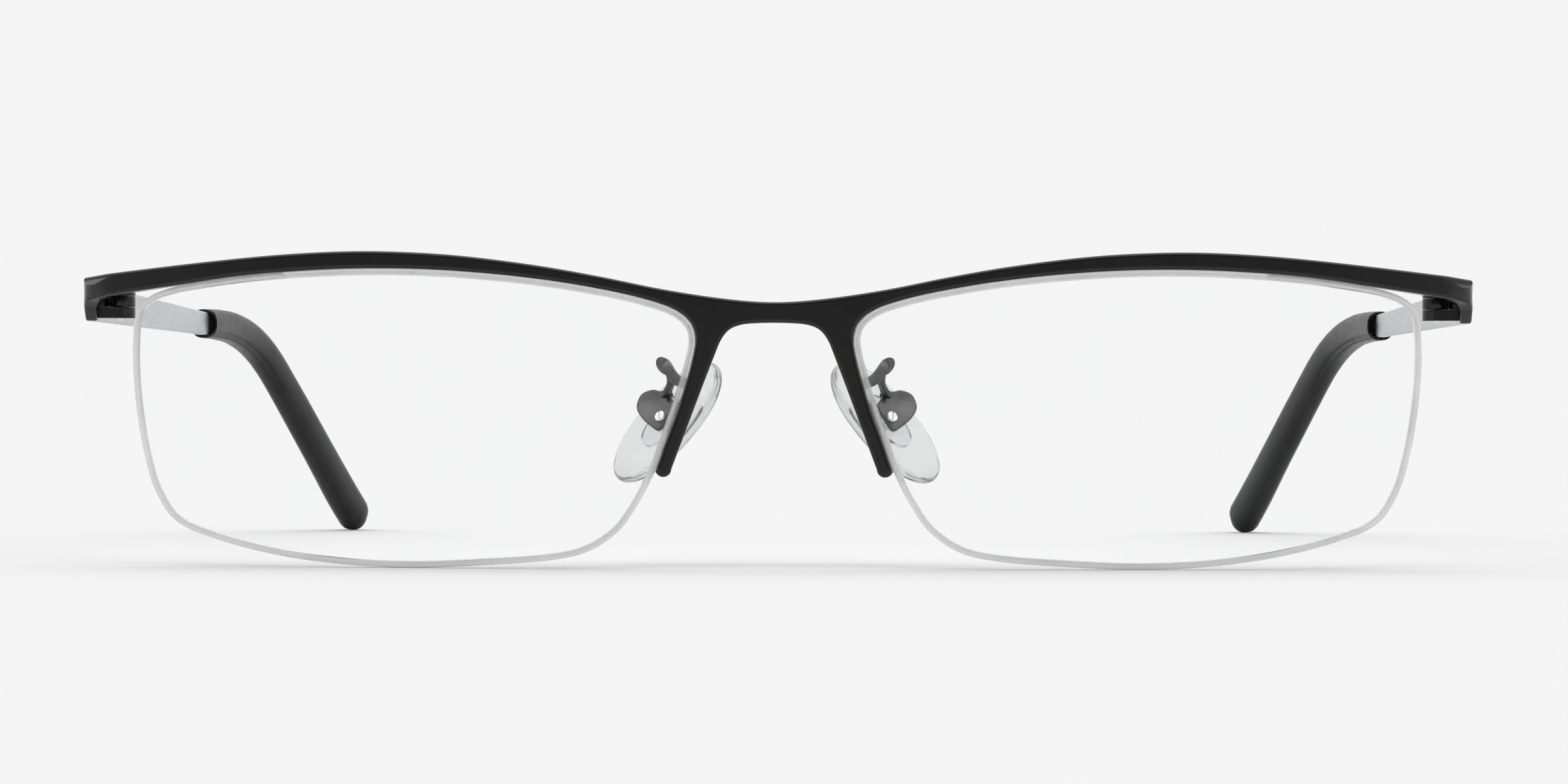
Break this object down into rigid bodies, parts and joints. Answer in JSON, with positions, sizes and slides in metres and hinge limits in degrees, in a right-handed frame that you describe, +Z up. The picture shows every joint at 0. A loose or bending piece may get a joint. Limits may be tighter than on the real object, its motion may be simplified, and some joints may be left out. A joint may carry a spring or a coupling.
{
  "type": "half-rim eyeglasses",
  "caption": "Half-rim eyeglasses: metal brow-bar front, cord-held clear lenses, adjustable nose pads, and flat folding temples with bent dark tips.",
  "frame": {"origin": "on the surface that the glasses stand on, under the middle of their box", "axes": "+X is the wearer's left, +Y points back along the open temples, +Z is up; the front faces -Y"},
  "size_m": [0.138, 0.1338, 0.031],
  "materials": {
    "front_metal": "satin black lacquer",
    "clear_plastic": "clear",
    "lens_clear": "clear polished",
    "nylon_clear": "translucent",
    "pad_arm_metal": "dark grey, stamped",
    "screw_metal": "bright",
    "pad_silicone": "clear silicone",
    "hinge_metal": "black",
    "temple_metal": "light grey, fine brushed",
    "tip_acetate": "satin black"
  },
  "bodies": {
    "front": {"front_frame": "front_metal", "left_rim_liner": "clear_plastic", "left_lens": "lens_clear", "left_nylon_cord": "nylon_clear", "left_pad_arm": "pad_arm_metal", "left_front_hinge": "hinge_metal", "left_hinge_screw": "screw_metal", "right_rim_liner": "clear_plastic", "right_lens": "lens_clear", "right_nylon_cord": "nylon_clear", "right_pad_arm": "pad_arm_metal", "right_front_hinge": "hinge_metal", "right_hinge_screw": "screw_metal"},
    "left_temple": {"left_temple": "temple_metal", "left_temple_tip": "tip_acetate", "left_temple_hinge": "hinge_metal"},
    "left_nose_pad": {"left_nose_pad": "pad_silicone", "left_pad_core": "clear_plastic", "left_pad_screw": "screw_metal"},
    "right_temple": {"right_temple": "temple_metal", "right_temple_tip": "tip_acetate", "right_temple_hinge": "hinge_metal"},
    "right_nose_pad": {"right_nose_pad": "pad_silicone", "right_pad_core": "clear_plastic", "right_pad_screw": "screw_metal"}
  },
  "joints": [
    {"name": "left_temple_fold", "type": "hinge", "parent": "front", "child": "left_temple", "pos_m": [0.0657, -0.0542, 0.0262], "axis": [0, 0, 1], "range_deg": [0, 86]},
    {"name": "left_pad_rock", "type": "hinge", "parent": "front", "child": "left_nose_pad", "pos_m": [0.01048, -0.05607, 0.01391], "axis": [-0.5147, 0.7314, -0.4474], "range_deg": [-12, 12]},
    {"name": "right_temple_fold", "type": "hinge", "parent": "front", "child": "right_temple", "pos_m": [-0.0657, -0.0542, 0.0262], "axis": [0, 0, -1], "range_deg": [0, 79]},
    {"name": "right_pad_rock", "type": "hinge", "parent": "front", "child": "right_nose_pad", "pos_m": [-0.01048, -0.05607, 0.01391], "axis": [0.5147, 0.7314, -0.4474], "range_deg": [-12, 12]}
  ]
}
